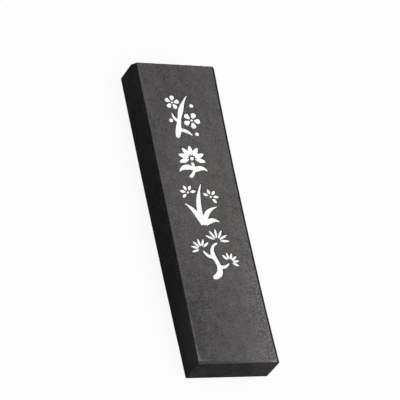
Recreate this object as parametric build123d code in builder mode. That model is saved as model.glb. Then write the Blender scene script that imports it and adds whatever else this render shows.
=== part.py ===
from build123d import *
import os

# Solid ink stick, in millimetres.
#
# It lies on its plain back. The origin is at the centre of the back face,
# +X is across the stick, +Y runs up the decoration to the top end, and +Z
# points out of the decorated face. The end at -Y is the one that is ground
# on the ink stone.
#
# The block is pressed soot and glue. The mould leaves shallow recesses in its
# face, and each recess holds a thin fill of white pigment.

# Block
LENGTH = 75.0
WIDTH = 20.2  # half-way between the ends
THICKNESS = 7.65

# The block warps a little as it dries, so its plan isn't a true rectangle.
TAPER = 0.25  # the top end is this much wider than WIDTH, the grinding end narrower
LEFT_BULGE = 0.22  # the left side bows outwards by this much at mid length
RIGHT_HOLLOW = 0.60  # the right side bows inwards by this much at mid length
TOP_SKEW = 0.41  # the top end's right corner stands this much short, the left proud

# The face's left edge and its edge above the grinding end were trimmed by hand,
# each by one flat cut that widens along the edge. A pair is the cut's width at
# the edge's two ends: from the grinding end to the top, and from left to right.
LEFT_TRIM = (0.33, 1.10)
GRINDING_TRIM = (0.88, 0.28)
GRINDING_TRIM_DROP = 0.35  # depth of the cut for each millimetre of its width

# The other edges are only broken
FACE_RIGHT_CHAMFER = 0.60
FACE_TOP_CHAMFER = 0.15
BACK_CHAMFER = 0.15
UPRIGHT_CHAMFER = 0.15

# Decoration
RECESS_DEPTH = 0.35
PAINT_THICKNESS = 0.25
PAINT_GAP = 0.02  # bare rim between the paint and the wall of its recess

HALF_LENGTH = LENGTH / 2
TOP_HALF_WIDTH = (WIDTH + TAPER) / 2
GRINDING_HALF_WIDTH = (WIDTH - TAPER) / 2
RECESS_FLOOR = THICKNESS - RECESS_DEPTH

# Middle of each ornament on the face
PLUM_AT = (-0.1, 24.0)
CHRYSANTHEMUM_AT = (-0.8, 12.6)
ORCHID_AT = (-0.8, 1.5)
PINE_AT = (-0.1, -10.6)


# ---------------------------------------------------------------- brush marks


def brush_stroke(path, widths, gap):
    """One stroke of the brush, along a smooth path of points.

    The widths lie square to the path, at even steps from its start to its end.
    """
    spine = Spline(*path, mode=Mode.PRIVATE)
    left = []
    right = []
    for step, width in enumerate(widths):
        along = step / (len(widths) - 1)
        across = (spine % along).rotate(Axis.Z, 90) * (width / 2 + gap)
        left.append(spine @ along + across)
        right.append(spine @ along - across)
    heel = spine @ 0 - (spine % 0) * (widths[0] / 2 + gap)
    tip = spine @ 1 + (spine % 1) * (widths[-1] / 2 + gap)

    with BuildSketch() as stroke:
        with BuildLine():
            Spline(*left)
            ThreePointArc(left[-1], tip, right[-1])
            Spline(*reversed(right))
            ThreePointArc(right[0], heel, left[0])
        make_face()
    return stroke.sketch


def brush_dot(centre, diameter, gap):
    """One touch of the brush's tip: a bud, or the heart of a flower."""
    with BuildSketch() as dot:
        with Locations(centre):
            Circle(diameter / 2 + gap)
    return dot.sketch


def fan(centre, angles, inner, outer, widths, gap):
    """Straight strokes that spread from a centre, such as petals or needles."""
    with BuildSketch() as spread:
        for angle in angles:
            way = Vector(1, 0).rotate(Axis.Z, angle)
            root = Vector(*centre) + way * inner
            end = Vector(*centre) + way * outer
            add(brush_stroke([root, end], widths, gap))
    return spread.sketch


def even_angles(first, last, count):
    """Angles in degrees, evenly spread from the first to the last."""
    return [first + (last - first) * i / (count - 1) for i in range(count)]


def at_place(place, marks):
    """The marks of one ornament, fused and moved to their place on the face."""
    with BuildSketch() as group:
        with Locations(place):
            for mark in marks:
                add(mark)
    return group.sketch


# ------------------------------------------------------------------- ornaments


def plum_bough(gap):
    bough = [(-2.7, -5.0), (-1.9, -2.2), (-0.8, 1.2), (1.5, 5.2)]
    twig = [(-1.5, -1.4), (-2.6, -0.5), (-3.0, 0.8)]
    spur = [(-2.2, -3.5), (-0.5, -3.8), (0.9, -4.9)]
    return at_place(
        PLUM_AT,
        [
            brush_stroke(bough, [1.10, 1.35, 0.90, 1.25, 0.75, 0.25], gap),
            brush_stroke(twig, [0.80, 0.70, 0.25], gap),
            brush_stroke(spur, [0.70, 0.90, 0.25], gap),
        ],
    )


def plum_blossom(centre, size, turn):
    """Maker of a blossom's marks: five round petals about a heart."""

    def blossom(gap):
        angles = [turn + 72 * i for i in range(5)]
        widths = [0.70 * size, 1.20 * size]
        petals = fan(centre, angles, 0.82 * size, 1.25 * size, widths, gap)
        heart = brush_dot(centre, 0.55 * size, gap)
        return at_place(PLUM_AT, [petals, heart])

    return blossom


def plum_buds(gap):
    places = [(-3.55, -1.05), (2.10, -4.55), (2.20, 2.70)]
    return at_place(PLUM_AT, [brush_dot(place, 1.00, gap) for place in places])


def chrysanthemum_flower(gap):
    heart = (0.2, 0.6)
    petals = fan(heart, even_angles(-15, 195, 7), 1.00, 2.95, [0.45, 1.15, 0.65], gap)
    return at_place(CHRYSANTHEMUM_AT, [petals, brush_dot(heart, 0.95, gap)])


def chrysanthemum_stem(gap):
    stem = [(0.1, -0.7), (0.2, -2.1), (-0.9, -3.9)]
    left_leaf = [(0.1, -2.1), (-1.6, -1.55), (-3.4, -2.6)]
    right_leaf = [(0.2, -2.7), (1.6, -1.85), (3.3, -2.5)]
    return at_place(
        CHRYSANTHEMUM_AT,
        [
            brush_stroke(stem, [0.80, 0.60, 0.70, 0.90], gap),
            brush_stroke(left_leaf, [0.40, 1.35, 1.05, 0.30], gap),
            brush_stroke(right_leaf, [0.40, 1.30, 1.00, 0.30], gap),
        ],
    )


def orchid_leaves(gap):
    leaves = [
        [(-0.9, -4.8), (-2.1, -1.5), (-3.9, 0.3)],
        [(-0.4, -4.8), (-0.6, 0.2), (0.9, 5.1)],
        [(0.0, -4.8), (1.3, -1.8), (3.6, -0.6)],
        [(0.4, -4.9), (1.9, -3.9), (3.5, -4.3)],
    ]
    widths = [0.60, 1.15, 1.20, 0.75, 0.25]
    return at_place(ORCHID_AT, [brush_stroke(leaf, widths, gap) for leaf in leaves])


def orchid_flower(centre, turn):
    """Maker of a flower's marks: five thin petals about a heart."""

    def flower(gap):
        angles = [turn + spread for spread in (-104, -52, 0, 52, 104)]
        petals = fan(centre, angles, 0.78, 1.85, [0.40, 0.78, 0.30], gap)
        return at_place(ORCHID_AT, [petals, brush_dot(centre, 0.60, gap)])

    return flower


def pine_bough(gap):
    bough = [(-1.1, -5.9), (0.4, -3.3), (-0.5, -0.5), (0.9, 2.4)]
    left_branch = [(-0.4, -1.0), (-1.7, -0.6), (-2.6, 0.5)]
    right_branch = [(0.3, -3.3), (1.7, -3.4), (2.8, -2.7)]
    return at_place(
        PINE_AT,
        [
            brush_stroke(bough, [1.20, 1.45, 1.00, 1.15, 0.80, 0.50], gap),
            brush_stroke(left_branch, [0.80, 0.80, 0.40], gap),
            brush_stroke(right_branch, [0.80, 0.80, 0.40], gap),
        ],
    )


def pine_needles(centre, lean, reach):
    """Maker of a spray's marks: stiff needles, open towards the lean."""
    half_fan = 78

    def spray(gap):
        angles = even_angles(lean - half_fan, lean + half_fan, 6)
        return at_place(PINE_AT, [fan(centre, angles, 0.75, reach, [0.25, 0.62, 0.25], gap)])

    return spray


PAINT_MARKS = {
    "plum_bough_paint": plum_bough,
    "plum_upper_blossom_paint": plum_blossom((-2.40, 3.60), 0.98, 80),
    "plum_lower_blossom_paint": plum_blossom((1.50, -1.05), 1.15, 62),
    "plum_bud_paint": plum_buds,
    "chrysanthemum_flower_paint": chrysanthemum_flower,
    "chrysanthemum_stem_paint": chrysanthemum_stem,
    "orchid_leaf_paint": orchid_leaves,
    "orchid_left_flower_paint": orchid_flower((-2.60, 3.10), 115),
    "orchid_right_flower_paint": orchid_flower((2.75, 2.00), 50),
    "pine_bough_paint": pine_bough,
    "pine_top_needle_paint": pine_needles((1.30, 3.10), 75, 2.85),
    "pine_left_needle_paint": pine_needles((-2.95, 1.10), 118, 2.45),
    "pine_right_needle_paint": pine_needles((3.20, -2.20), 52, 2.25),
}


# -------------------------------------------------------------------- ink block


def plane_through(first, second, third):
    """Plane through three points. It faces upwards, out of the block."""
    along = Vector(*second) - Vector(*first)
    facing = along.cross(Vector(*third) - Vector(*first))
    if facing.Z < 0:
        facing = -facing
    return Plane(origin=first, x_dir=along, z_dir=facing)


os.makedirs("parts", exist_ok=True)

top_left = (-TOP_HALF_WIDTH, HALF_LENGTH + TOP_SKEW)
top_right = (TOP_HALF_WIDTH, HALF_LENGTH - TOP_SKEW)
grinding_left = (-GRINDING_HALF_WIDTH, -HALF_LENGTH)
grinding_right = (GRINDING_HALF_WIDTH, -HALF_LENGTH)
mid_left = (-WIDTH / 2 - LEFT_BULGE, 0)
mid_right = (WIDTH / 2 - RIGHT_HOLLOW, 0)

left_cut = plane_through(
    (grinding_left[0] + LEFT_TRIM[0], grinding_left[1], THICKNESS),
    (top_left[0] + LEFT_TRIM[1], top_left[1], THICKNESS),
    (top_left[0], top_left[1], THICKNESS - LEFT_TRIM[1]),
)
grinding_cut = plane_through(
    (grinding_right[0], grinding_right[1] + GRINDING_TRIM[1], THICKNESS),
    (grinding_left[0], grinding_left[1] + GRINDING_TRIM[0], THICKNESS),
    (grinding_left[0], grinding_left[1], THICKNESS - GRINDING_TRIM[0] * GRINDING_TRIM_DROP),
)

with BuildPart() as ink_block:
    with BuildSketch(Plane.XY):
        with BuildLine():
            Line(grinding_left, grinding_right)
            ThreePointArc(grinding_right, mid_right, top_right)
            Line(top_right, top_left)
            ThreePointArc(top_left, mid_left, grinding_left)
        make_face()
    extrude(amount=THICKNESS)

    # Broken edges
    chamfer(ink_block.edges().filter_by(Axis.Z), UPRIGHT_CHAMFER)
    chamfer(ink_block.faces().sort_by(Axis.Z)[0].edges(), BACK_CHAMFER)
    face_edges = ink_block.faces().sort_by(Axis.Z)[-1].edges()
    chamfer(face_edges.filter_by(GeomType.CIRCLE).sort_by(Axis.X)[-1], FACE_RIGHT_CHAMFER)
    face_edges = ink_block.faces().sort_by(Axis.Z)[-1].edges()
    chamfer(face_edges.filter_by(GeomType.LINE).sort_by(Axis.Y)[-1], FACE_TOP_CHAMFER)

    # Trimmed edges
    split(bisect_by=left_cut, keep=Keep.BOTTOM)
    split(bisect_by=grinding_cut, keep=Keep.BOTTOM)

    # Recesses for the paint
    with BuildSketch(Plane.XY.offset(RECESS_FLOOR)):
        for mark in PAINT_MARKS.values():
            add(mark(PAINT_GAP))
    extrude(amount=RECESS_DEPTH, mode=Mode.SUBTRACT)

ink_block.part.label = "ink_block"
export_step(ink_block.part, "parts/ink_block.step")


# ------------------------------------------------------------------------ paint


for name, mark in PAINT_MARKS.items():
    with BuildPart() as paint:
        with BuildSketch(Plane.XY.offset(RECESS_FLOOR)):
            add(mark(0))
        extrude(amount=PAINT_THICKNESS)
    paint.part.label = name
    export_step(paint.part, f"parts/{name}.step")
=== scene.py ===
import math
import random

import bmesh
import bpy
import numpy as np
from mathutils import Matrix, Quaternion, Vector, noise


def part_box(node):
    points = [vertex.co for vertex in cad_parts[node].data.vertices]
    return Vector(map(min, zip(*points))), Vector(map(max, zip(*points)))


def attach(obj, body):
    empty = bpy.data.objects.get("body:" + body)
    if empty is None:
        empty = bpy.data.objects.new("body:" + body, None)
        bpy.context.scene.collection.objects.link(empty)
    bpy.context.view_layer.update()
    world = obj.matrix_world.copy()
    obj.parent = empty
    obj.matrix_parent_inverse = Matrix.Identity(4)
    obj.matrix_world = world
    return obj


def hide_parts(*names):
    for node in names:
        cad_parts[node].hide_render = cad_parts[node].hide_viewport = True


# A solid ink stick, lying on its back with the decorated face up. Lengths in
# this script are millimetres unless a name ends in _M; the scene is in metres.

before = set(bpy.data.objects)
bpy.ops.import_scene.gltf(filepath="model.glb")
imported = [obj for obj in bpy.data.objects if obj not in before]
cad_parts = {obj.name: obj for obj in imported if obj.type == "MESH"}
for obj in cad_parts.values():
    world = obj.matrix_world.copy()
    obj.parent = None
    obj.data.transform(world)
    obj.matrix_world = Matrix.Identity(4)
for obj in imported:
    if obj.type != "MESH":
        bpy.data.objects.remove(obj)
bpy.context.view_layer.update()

MM = 0.001
BODY = "root"
BLOCK_LOW, BLOCK_HIGH = (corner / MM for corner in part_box("ink_block"))
PAINT_NODES = sorted(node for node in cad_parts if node.endswith("_paint"))


# ------------------------------------------------------------ camera and light

LENS = 313.7
CAMERA_AZIMUTH = -45.11
CAMERA_ELEVATION = 53.62
CAMERA_ROLL = 38.85
CAMERA_TARGET = (-0.93, 2.64, 7.65)
CAMERA_DISTANCE = 777.7
TABLE_SIZE_M = 6.0


def aim(thing, toward_from, roll=0.0):
    """Turn a lamp or camera so that it looks back along a direction, rolled about it."""
    facing = (-Vector(toward_from)).to_track_quat("-Z", "Y")
    thing.rotation_mode = "QUATERNION"
    thing.rotation_quaternion = facing @ Quaternion((0, 0, 1), roll)


def direction(azimuth, elevation):
    """Unit vector to a place round the object: azimuth 0 is towards -Y, 90 towards +X."""
    a = math.radians(azimuth)
    e = math.radians(elevation)
    return Vector((math.sin(a) * math.cos(e), -math.cos(a) * math.cos(e), math.sin(e)))


def make_camera():
    """A long lens above the grinding end's left corner, tilted on its side."""
    lens = bpy.data.cameras.new("camera")
    lens.sensor_width = 36
    lens.lens = LENS
    camera = bpy.data.objects.new("camera", lens)
    bpy.context.scene.collection.objects.link(camera)
    toward = direction(CAMERA_AZIMUTH, CAMERA_ELEVATION)
    camera.location = Vector(CAMERA_TARGET) * MM + toward * CAMERA_DISTANCE * MM
    aim(camera, toward, math.radians(CAMERA_ROLL))
    bpy.context.scene.camera = camera


def make_sun(name, azimuth, elevation, strength, spread):
    """A very wide, soft lamp, like a big softbox far away. Spread is its width in degrees."""
    lamp = bpy.data.lights.new(name, "SUN")
    lamp.energy = strength
    lamp.angle = math.radians(spread)
    sun = bpy.data.objects.new(name, lamp)
    aim(sun, direction(azimuth, elevation))
    bpy.context.scene.collection.objects.link(sun)


def make_room():
    """Even pale light from all round, with colours shown as they are."""
    room = bpy.data.worlds.new("studio")
    room.use_nodes = True
    room.node_tree.nodes["Background"].inputs["Color"].default_value = grey(0.75)
    bpy.context.scene.world = room
    bpy.context.scene.view_settings.view_transform = "Standard"


def make_table(material):
    """The table that the stick lies on."""
    half = TABLE_SIZE_M / 2
    corners = [(-half, -half, 0), (half, -half, 0), (half, half, 0), (-half, half, 0)]
    mesh = bpy.data.meshes.new("table_top")
    mesh.from_pydata(corners, [], [(0, 1, 2, 3)])
    mesh.materials.append(material)
    table = bpy.data.objects.new("table_top", mesh)
    bpy.context.scene.collection.objects.link(table)


# -------------------------------------------------------------- finishes: tools


def find_socket(sockets, name):
    """A node's socket by its identifier, or else by its name or number."""
    if isinstance(name, int):
        return sockets[name]
    for socket in sockets:
        if socket.identifier == name:
            return socket
    return sockets[name]


class Wire:
    """One value in a finish's nodes. Arithmetic on it adds Math nodes."""

    def __init__(self, finish, socket):
        self.finish = finish
        self.socket = socket

    def __add__(self, other):
        return self.finish.math("ADD", self, other)

    def __sub__(self, other):
        return self.finish.math("SUBTRACT", self, other)

    def __rsub__(self, other):
        return self.finish.math("SUBTRACT", other, self)

    def __mul__(self, other):
        return self.finish.math("MULTIPLY", self, other)

    __radd__ = __add__
    __rmul__ = __mul__

    def __neg__(self):
        return self * -1

    def __abs__(self):
        return self.finish.math("ABSOLUTE", self)


class Finish:
    """A material whose nodes are all made by one method."""

    def __init__(self, name):
        self.material = bpy.data.materials.new(name)
        self.material.use_nodes = True
        self.tree = self.material.node_tree
        self.tree.nodes.clear()

    def node(self, kind, settings=None, sockets=None, output=0):
        """Make a node, set its settings, then its sockets. Returns one of its outputs."""
        made = self.tree.nodes.new(kind)
        for name, value in (settings or {}).items():
            setattr(made, name, value)
        for name, value in (sockets or {}).items():
            socket = find_socket(made.inputs, name)
            if isinstance(value, Wire):
                self.tree.links.new(value.socket, socket)
            else:
                socket.default_value = value
        return Wire(self, find_socket(made.outputs, output)) if made.outputs else None

    def math(self, operation, *values):
        return self.node("ShaderNodeMath", {"operation": operation}, dict(enumerate(values)))

    def split(self, vector):
        """The X, Y and Z of a vector."""
        parts = self.node("ShaderNodeSeparateXYZ", {}, {0: vector})
        return [Wire(self, socket) for socket in parts.socket.node.outputs]

    def band(self, value, low, high):
        """0 below low and 1 above high, with a smooth rise between them."""
        return self.node(
            "ShaderNodeMapRange",
            {"interpolation_type": "SMOOTHSTEP"},
            {"Value": value, "From Min": low, "From Max": high},
        )

    def blend(self, amount, first, second):
        """A colour between two colours."""
        return self.node(
            "ShaderNodeMix",
            {"data_type": "RGBA"},
            {"Factor_Float": amount, "A_Color": first, "B_Color": second},
            "Result_Color",
        )

    def place(self, stretch=(1, 1, 1)):
        """Where a point is on the object, in millimetres, stretched along the axes."""
        spot = self.node("ShaderNodeTexCoord", output="Object")
        per_mm = [factor / MM for factor in stretch]
        return self.node("ShaderNodeVectorMath", {"operation": "MULTIPLY"}, {0: spot, 1: per_mm})

    def cloud(self, size, detail, rough, stretch=(1, 1, 1)):
        """Soft random pattern about 0.5, with spots of about this size in millimetres."""
        return self.node(
            "ShaderNodeTexNoise",
            {},
            {
                "Vector": self.place(stretch),
                "Scale": 1 / size,
                "Detail": detail,
                "Roughness": rough,
            },
        )

    def relief(self, height, depth, strength):
        """Fine bumps, this many millimetres deep for each unit of height."""
        return self.node(
            "ShaderNodeBump",
            {},
            {"Strength": strength, "Distance": depth * MM, "Height": height},
        )

    def surface(self, sockets):
        shader = self.node("ShaderNodeBsdfPrincipled", {}, sockets)
        self.node("ShaderNodeOutputMaterial", {}, {"Surface": shader})
        return self.material


def grey(level, tint=(1, 1, 1)):
    """A near-neutral colour of this linear brightness."""
    return (level * tint[0], level * tint[1], level * tint[2], 1.0)


# ---------------------------------------------------------- finishes: the block

PLUM_TINT = (1.03, 0.975, 1.005)
OLIVE_TINT = (1.02, 0.998, 0.962)

# Linear brightness of the ink: a pair is the darkest and palest of one surface. The face is paler
# and the sides darker than the ink alone, partly as painted light and painted shade
FACE_GREYS = (0.025, 0.165)
SIDE_GREYS = (0.005, 0.020)
GROUND_GREYS = (0.011, 0.027)
FLECK_GREY = 0.17
TRIMMED_GREY = 0.02
# Pale grey of the face's rim: wear and painted highlight
WORN_AND_HIGHLIGHT_GREY = 0.26


def right_edge():
    """The face's right edge, as x = bow * y * y + slant * y + middle."""
    corners = np.array([point.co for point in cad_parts["ink_block"].data.vertices]) / MM
    on_face = corners[:, 2] > BLOCK_HIGH.z - 0.001
    on_edge = on_face & (corners[:, 0] > 0.75 * BLOCK_HIGH.x)
    return np.polyfit(corners[on_edge, 1], corners[on_edge, 0], 2).tolist()


class InkFinish(Finish):
    """Pressed soot and glue.

    A surface's tone runs from 0, its darkest, to 1, its palest. Places on the block are in
    millimetres: across it to the right, along it away from the grinding end, and height.
    """

    def __init__(self):
        super().__init__("pressed_ink")
        facing = self.node("ShaderNodeTexCoord", output="Normal")
        _, self.endward, upward = self.split(facing)
        self.flatness = abs(upward)
        self.across, self.along, self.height = self.split(self.place())
        self.grain = self.cloud(size=0.42, detail=3, rough=0.65) - 0.5
        self.specks = self.cloud(size=0.14, detail=2, rough=0.6) - 0.5
        self.streaks = self.cloud(size=0.9, detail=2, rough=0.5, stretch=(1, 0.22, 1)) - 0.5
        self.mottle = self.cloud(size=2.4, detail=2, rough=0.5) - 0.5
        self.drift = self.cloud(size=13, detail=1, rough=0.5) - 0.5

    def moulded_face(self):
        """Matt grey, with painted sheen making it palest to the right, near the grinding end."""
        across, along = self.across, self.along
        from_middle = abs(along - 1)

        # A band along the right side, near the grinding end, is rougher in grain and adds a little
        # painted sheen
        rough_side = self.band(across, 3.5, 9.0) * self.band(-along, -12, 24)
        # Painted sheen: the face is painted paler to the right and towards the grinding end, where
        # the light falls brightest
        painted_sheen = across * (0.010 - along * 0.000135) - along * 0.0010 + rough_side * 0.02
        pale_left = (1 - self.band(from_middle, 4, 25)) * (1 - self.band(across, -6, 4)) * 0.10
        fine = (self.grain * 0.96 + self.specks * 0.48) * (1 + rough_side * 1.7)
        uneven = fine + self.streaks * 0.16 + self.mottle * 0.27 + self.drift * 0.18
        tone = uneven + painted_sheen + pale_left + 0.315

        # Its black leans to plum, and to olive in patches on the right at mid length
        mid_right = self.band(across, -4, 3) * (1 - self.band(from_middle, 9, 22))
        olive = self.band(self.cloud(size=9, detail=2, rough=0.5), 0.35, 0.55) * mid_right
        darkest, palest = (
            self.blend(olive, grey(level, PLUM_TINT), grey(level, OLIVE_TINT))
            for level in FACE_GREYS
        )
        face = self.blend(tone, darkest, palest)

        # Flecks of lighter ink, thick along the rough side
        flecks = self.band(self.cloud(size=0.34, detail=2, rough=0.6), 0.54, 0.66)
        thickness = 0.05 + rough_side * 0.6
        face = self.blend(flecks * thickness, face, grey(FLECK_GREY, PLUM_TINT))

        # The narrow cut along the grinding end's edge is bare, darker ink
        trimmed = self.band(-self.endward, 0.17, 0.27) * 0.48
        return self.blend(trimmed, face, grey(TRIMMED_GREY))

    def cut_side(self):
        """Near black, partly the ink's own colour and partly painted shade; a little paler towards
        the ends and on the cut along the left edge.
        """
        ends = self.band(abs(self.along), 20, 37) * 0.175
        left_cut = self.band(self.flatness, 0.35, 0.65) * 0.175
        by_ground_end = self.band(-self.along, 8, 37) * self.band(self.height, 1, 7) * 0.40
        uneven = self.grain * 1.6 + self.specks + self.mottle * 0.6
        tone = uneven + ends + left_cut + by_ground_end + 0.19
        darkest, palest = SIDE_GREYS
        return self.blend(tone, grey(darkest), grey(palest, PLUM_TINT))

    def ground_end(self):
        """The end that is ground on the stone is a little greyer, and painted paler at its upper
        right, where the light falls.
        """
        right = self.band(self.across, 1, 9.5)
        # Painted light: the end's upper right is painted paler
        lit_corner = right * (0.40 + self.band(self.height, 2, 7.5) * 0.45)
        uneven = self.grain * 2.6 + self.specks * 1.6 + self.mottle * 1.2
        darkest, palest = (grey(level, PLUM_TINT) for level in GROUND_GREYS)
        return self.blend(uneven + lit_corner + 0.24, darkest, palest)

    def moulded_and_lit(self):
        """1 on the face and back, pale partly from their mould skin and partly as painted light; 0
        where they turn down and in a thin strip by the right edge, which take painted shade.
        """
        bow, slant, middle = right_edge()
        # Painted shade: a thin strip just inside the face's right edge takes the sides' dark colour,
        # standing in for the right edge in shade
        past_right_edge = self.across - (self.along * (slant + self.along * bow) + middle)
        turned_down = self.flatness + self.band(-self.endward, 0.3, 0.6) * 0.2
        return self.band(turned_down, 0.76, 0.93) * (1 - self.band(past_right_edge, -0.24, -0.12))

    def worn_rim_and_highlight(self):
        """The face's rim in patches, paler from wear and painted highlight: brightest at its corners
        by the grinding end, as painted glints.
        """
        wear_and_highlight = self.node("ShaderNodeAttribute", {"attribute_name": "wear_and_highlight"}, output="Fac")
        patches = self.band(self.cloud(size=0.7, detail=3, rough=0.7), 0.38, 0.58) * 0.8 + 0.2
        middle = self.band(self.across, -8, -3) * (1 - self.band(self.across, 7, 9))
        by_corner = self.band(-self.along, 34, 36.2) * (1 - middle)
        handled_and_glinting = self.band(-self.along, 15, 34) * 0.2 + by_corner * 0.65 + 0.06
        return wear_and_highlight * patches * handled_and_glinting


def pressed_ink():
    """The face and back are matt grey and the trimmed edges and sides near black, partly the ink's
    own colours and partly painted light and painted shade.
    """
    ink = InkFinish()
    moulded_and_lit = ink.moulded_and_lit()
    ground = ink.band(-ink.endward, 0.80, 0.95)
    side = ink.blend(ground, ink.cut_side(), ink.ground_end())
    # Face and back painted pale, sides painted near black: partly the ink's own colours, partly
    # painted light and painted shade
    colour = ink.blend(moulded_and_lit, side, ink.moulded_face())
    # The face's rim is painted pale, partly wear and partly painted highlight, with painted glints
    # at the corners by the grinding end
    colour = ink.blend(ink.worn_rim_and_highlight() * moulded_and_lit, colour, grey(WORN_AND_HIGHLIGHT_GREY, PLUM_TINT))
    bumps = ink.grain + ink.specks * 0.5 + ink.streaks * 0.5 + ink.mottle * 0.8
    return ink.surface(
        {
            "Base Color": colour,
            "Roughness": 0.95 - moulded_and_lit * 0.3 - ink.grain * 0.2,
            "Specular IOR Level": 0.03,
            "Normal": ink.relief(bumps, depth=0.06, strength=0.7),
        }
    )


# ------------------------------------------------- finishes: paint and table top

PAINT_TINT = (1.006, 1.0, 0.99)
PAINT_SINK = 0.10  # the paint's crown lies this far below the face


def white_pigment():
    """Matt white pigment, brushed thick; thinner and a little dirty at its rim."""
    pigment = Finish("white_pigment")
    _, _, height = pigment.split(pigment.place())
    crown = BLOCK_HIGH.z - PAINT_SINK
    thick = pigment.band(height, crown - 0.16, crown - 0.04)
    streak = pigment.cloud(size=0.5, detail=4, rough=0.65)
    brushed = pigment.band(streak, 0.35, 0.60)
    colour = pigment.blend(brushed, grey(0.70, PAINT_TINT), grey(0.88, PAINT_TINT))
    colour = pigment.blend(thick, grey(0.60, PAINT_TINT), colour)
    specks = pigment.band(pigment.cloud(size=0.16, detail=2, rough=0.5), 0.69, 0.76) * 0.35
    colour = pigment.blend(specks, colour, grey(0.30, PAINT_TINT))
    return pigment.surface(
        {
            "Base Color": colour,
            "Roughness": 0.78 + streak * 0.1,
            "Specular IOR Level": 0.2,
            "Normal": pigment.relief(streak, depth=0.03, strength=0.5),
        }
    )


def table_top():
    """A pale light table, on which shadows are faint."""
    table = Finish("table_top")
    return table.surface(
        {
            "Base Color": grey(0.07),
            "Roughness": 0.9,
            "Specular IOR Level": 0.0,
            "Emission Color": grey(1.0),
            "Emission Strength": 0.90,
        }
    )


# ------------------------------------------------------------------- mesh tools


def settle(piece):
    """Turn a piece's modifiers into its mesh."""
    bpy.context.view_layer.update()
    shaped = piece.evaluated_get(bpy.context.evaluated_depsgraph_get())
    mesh = bpy.data.meshes.new_from_object(shaped)
    piece.modifiers.clear()
    piece.data = mesh


def fine_copy(node, name, voxel):
    """A finely and evenly meshed copy of a CAD node, in millimetres, ready to be shaped."""
    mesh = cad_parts[node].data.copy()
    mesh.transform(Matrix.Scale(1 / MM, 4))
    welded = bmesh.new()
    welded.from_mesh(mesh)
    bmesh.ops.remove_doubles(welded, verts=welded.verts, dist=0.001)
    welded.to_mesh(mesh)
    welded.free()
    mesh.materials.clear()
    piece = bpy.data.objects.new(name, mesh)
    bpy.context.scene.collection.objects.link(piece)
    remesh = piece.modifiers.new("fine", "REMESH")
    remesh.mode = "VOXEL"
    remesh.voxel_size = voxel
    remesh.use_smooth_shade = True
    settle(piece)
    return piece


def read_numbers(things, field, width, kind=float):
    """One field of all a mesh's points or edges, as a table of numbers."""
    numbers = np.empty(len(things) * width, np.float32 if kind is float else np.int32)
    things.foreach_get(field, numbers)
    return numbers.reshape(-1, width).astype(kind)


class Clay:
    """The points of a fine mesh, in millimetres, while wear and brushwork are shaped in them."""

    def __init__(self, piece):
        self.mesh = piece.data
        self.points = read_numbers(self.mesh.vertices, "co", 3)
        self.facing = read_numbers(self.mesh.vertex_normals, "vector", 3)
        self.edges = read_numbers(self.mesh.edges, "vertices", 2, int)
        self.links = np.bincount(self.edges.ravel(), minlength=len(self.points))

    def around(self, values):
        """The mean of each point's neighbours."""
        near, far = self.edges.T
        sums = [
            np.bincount(near, column[far], len(column)) + np.bincount(far, column[near], len(column))
            for column in values.T
        ]
        return np.array(sums).T / self.links[:, None]

    def relax(self, share, rounds):
        """Rub the points down towards their neighbours: edges and corners go first."""
        for _ in range(rounds):
            self.points += share * (self.around(self.points) - self.points)

    def fold(self, rounds):
        """How sharply the surface folds near each point, from 0 where it is flat.

        Where it folds, the mean of the normals round a point is shorter than 1.
        """
        mean_facing = self.facing
        for _ in range(rounds):
            mean_facing = 0.5 * mean_facing + 0.5 * self.around(mean_facing)
        return 1 - np.linalg.norm(mean_facing, axis=1)

    def ripple(self, size, seed):
        """Smooth noise from -1 to 1 at every point, with waves of about this size."""
        shift = Vector((seed * 7.3, seed * 3.1, seed * 5.7))
        return np.array([noise.noise(Vector(point) / size + shift) for point in self.points])

    def dent(self, centre, radius, depth):
        """Knock a round-bottomed chip into the mesh."""
        offset = self.points - centre
        reach = np.sqrt((offset**2).sum(1)) / radius
        hit = reach < 1
        if hit.any():
            inward = -self.facing[hit].mean(0)
            inward /= np.linalg.norm(inward)
            self.points[hit] += inward * depth * ((1 - reach[hit] ** 2) ** 2)[:, None]

    def store(self):
        """Put the shaped points back in the mesh."""
        self.mesh.vertices.foreach_set("co", self.points.astype(np.float32).ravel())
        self.mesh.update()


def finish_piece(piece, node, material):
    """Bring a shaped piece back to metres, give it its finish and put it in the CAD node's place."""
    piece.data.transform(Matrix.Scale(MM, 4))
    piece.data.materials.clear()
    piece.data.materials.append(material)
    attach(piece, BODY)
    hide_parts(node)


# -------------------------------------------------------------------- ink block

BLOCK_VOXEL = 0.12
BLOCK_TRIANGLES = 190_000
WEAR_SEED = 11

# An edge counts in full where the mean of the normals round it is shorter by this
SHARP_FOLD = 0.10
SLIGHT_FOLD = 0.009
FOLD_ROUNDS = 5  # rounds of taking the mean, each a voxel wider
RECESS_MARGIN = 0.5  # the wear of the edges stays this far from the paint

# Rubbing: the share of the way to its neighbours that a point moves in each round
STEP_RUB = 0.4  # one round over the whole block, against the steps of the voxels
EDGE_RUB = 0.35
RECESS_RUB = 0.12
RUB_ROUNDS = 6

# Chips along the edges
CHIPS = 46
LEAST_CHIP_RADIUS = 0.12
CHIP_RADIUS_RANGE = 0.16
CHIP_DEPTH = (0.10, 0.25)  # shares of the chip's radius
# Knocked corners and edges: place, radius, depth
KNOCKS = [
    ((9.95, -34.4, 7.6), 0.40, 0.10),
    ((9.90, -31.9, 7.6), 0.30, 0.08),
    ((-9.9, -37.3, 7.3), 0.60, 0.10),
    ((10.0, -37.4, 7.6), 0.45, 0.10),
]

# Pits left in the face by air
PITS = 220
PIT_RADIUS = (0.14, 0.30)
PIT_DEPTH = (0.015, 0.04)

# The rim that wear and painted highlight make pale reaches this far below the face, and is full this
# far above its foot
RIM_DEPTH = 0.14
RIM_FADE = 0.08


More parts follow.
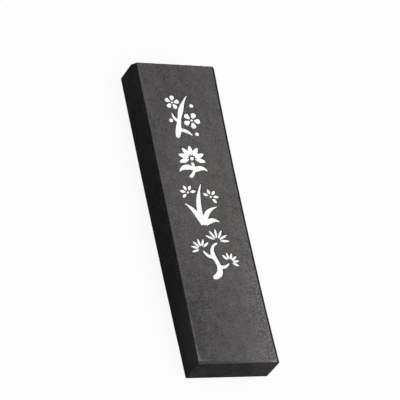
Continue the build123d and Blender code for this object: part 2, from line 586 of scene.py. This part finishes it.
def beside_paint(points, margin):
    """Which points are in or close to a painted recess."""
    close = np.zeros(len(points), bool)
    for node in PAINT_NODES:
        low, high = (np.array(corner / MM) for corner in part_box(node))
        inside = (points[:, :2] > low[:2] - margin) & (points[:, :2] < high[:2] + margin)
        close |= inside.all(1) & (points[:, 2] > low[2] - margin)
    return close


def rub_edges(clay, edge, recess):
    """Rub the edges round, more in some places than in others, and the recesses a little."""
    waves = 0.5 * clay.ripple(size=5.0, seed=1) + 0.3 * clay.ripple(size=1.1, seed=2)
    patchy = np.clip(0.6 + waves, 0.15, 1)
    share = EDGE_RUB * edge * patchy + RECESS_RUB * recess
    clay.relax(share[:, None], RUB_ROUNDS)


def chip_edges(clay, edge, dice):
    """Small chips anywhere along the edges, and the few that a knock has left."""
    rim = np.flatnonzero(edge > 0.75)
    for _ in range(CHIPS):
        point = clay.points[rim[dice.randrange(len(rim))]]
        radius = LEAST_CHIP_RADIUS + CHIP_RADIUS_RANGE * dice.random() ** 3
        clay.dent(point.copy(), radius, radius * dice.uniform(*CHIP_DEPTH))
    for place, radius, depth in KNOCKS:
        clay.dent(np.array(place), radius, depth)


def dry_uneven(clay, edge):
    """Swell and sink the faces a little, without pushing the back below the table."""
    flat = 1 - edge
    swell = 0.018 * clay.ripple(size=11.0, seed=3) + 0.006 * clay.ripple(size=1.3, seed=4)
    clay.points += clay.facing * (swell * flat)[:, None]
    clay.points[:, 2] = np.maximum(clay.points[:, 2], BLOCK_LOW.z)


def pit_face(clay, recess, dice):
    """Leave small round pits in the bare part of the face."""
    face = np.flatnonzero((clay.facing[:, 2] > 0.98) & ~recess)
    for _ in range(PITS):
        point = clay.points[face[dice.randrange(len(face))]]
        clay.dent(point.copy(), dice.uniform(*PIT_RADIUS), dice.uniform(*PIT_DEPTH))


def store_wear_and_highlight(clay, slight_edge):
    """Write how much wear each point of the face's rim has, for the ink's finish to paint pale as
    wear and painted highlight.
    """
    height = clay.points[:, 2] - (BLOCK_HIGH.z - RIM_DEPTH)
    wear_and_highlight = slight_edge**3 * np.clip(height / RIM_FADE, 0, 1)
    layer = clay.mesh.attributes.new("wear_and_highlight", "FLOAT", "POINT")
    layer.data.foreach_set("value", clay.around(wear_and_highlight[:, None])[:, 0].astype(np.float32))


def make_block(material):
    """The ink block, its edges rubbed and chipped by the hand, the box and the stone."""
    block = fine_copy("ink_block", "worn_ink_block", BLOCK_VOXEL)
    clay = Clay(block)
    clay.relax(STEP_RUB, 1)
    recess = beside_paint(clay.points, RECESS_MARGIN)
    fold = clay.fold(FOLD_ROUNDS)
    edge = np.clip(fold / SHARP_FOLD, 0, 1) * ~recess
    slight_edge = np.clip(fold / SLIGHT_FOLD, 0, 1) * ~recess

    dice = random.Random(WEAR_SEED)
    rub_edges(clay, edge, recess)
    chip_edges(clay, edge, dice)
    dry_uneven(clay, edge)
    pit_face(clay, recess, dice)
    clay.store()
    store_wear_and_highlight(clay, slight_edge)

    thin = block.modifiers.new("thin", "DECIMATE")
    thin.ratio = min(1.0, BLOCK_TRIANGLES / (2 * len(block.data.polygons)))
    settle(block)
    finish_piece(block, "ink_block", material)


# ------------------------------------------------------------------------ paint

PAINT_VOXEL = 0.055
PAINT_RUB = 0.5
PAINT_RUB_ROUNDS = 5
FIRST_PAINT_SEED = 20


def make_paint(node, seed, material):
    """One patch of pigment, brushed into its recess: rounded at the rim and uneven on top."""
    paint = fine_copy(node, node.replace("_paint", "_brushed_paint"), PAINT_VOXEL)
    clay = Clay(paint)
    clay.relax(PAINT_RUB, PAINT_RUB_ROUNDS)
    top = np.clip(clay.facing[:, 2], 0, 1)
    brushed = 0.035 * clay.ripple(size=1.4, seed=seed) + 0.02 * clay.ripple(size=0.4, seed=seed + 1)
    clay.points[:, 2] += top * brushed
    clay.store()
    finish_piece(paint, node, material)


# ------------------------------------------------------------------------ scene

make_camera()
make_sun("key_light", azimuth=60, elevation=72, strength=1.15, spread=40)
make_sun("fill_light", azimuth=20, elevation=12, strength=2.0, spread=50)
make_room()
make_table(table_top())

make_block(pressed_ink())
pigment = white_pigment()
for number, node in enumerate(PAINT_NODES):
    make_paint(node, FIRST_PAINT_SEED + 2 * number, pigment)
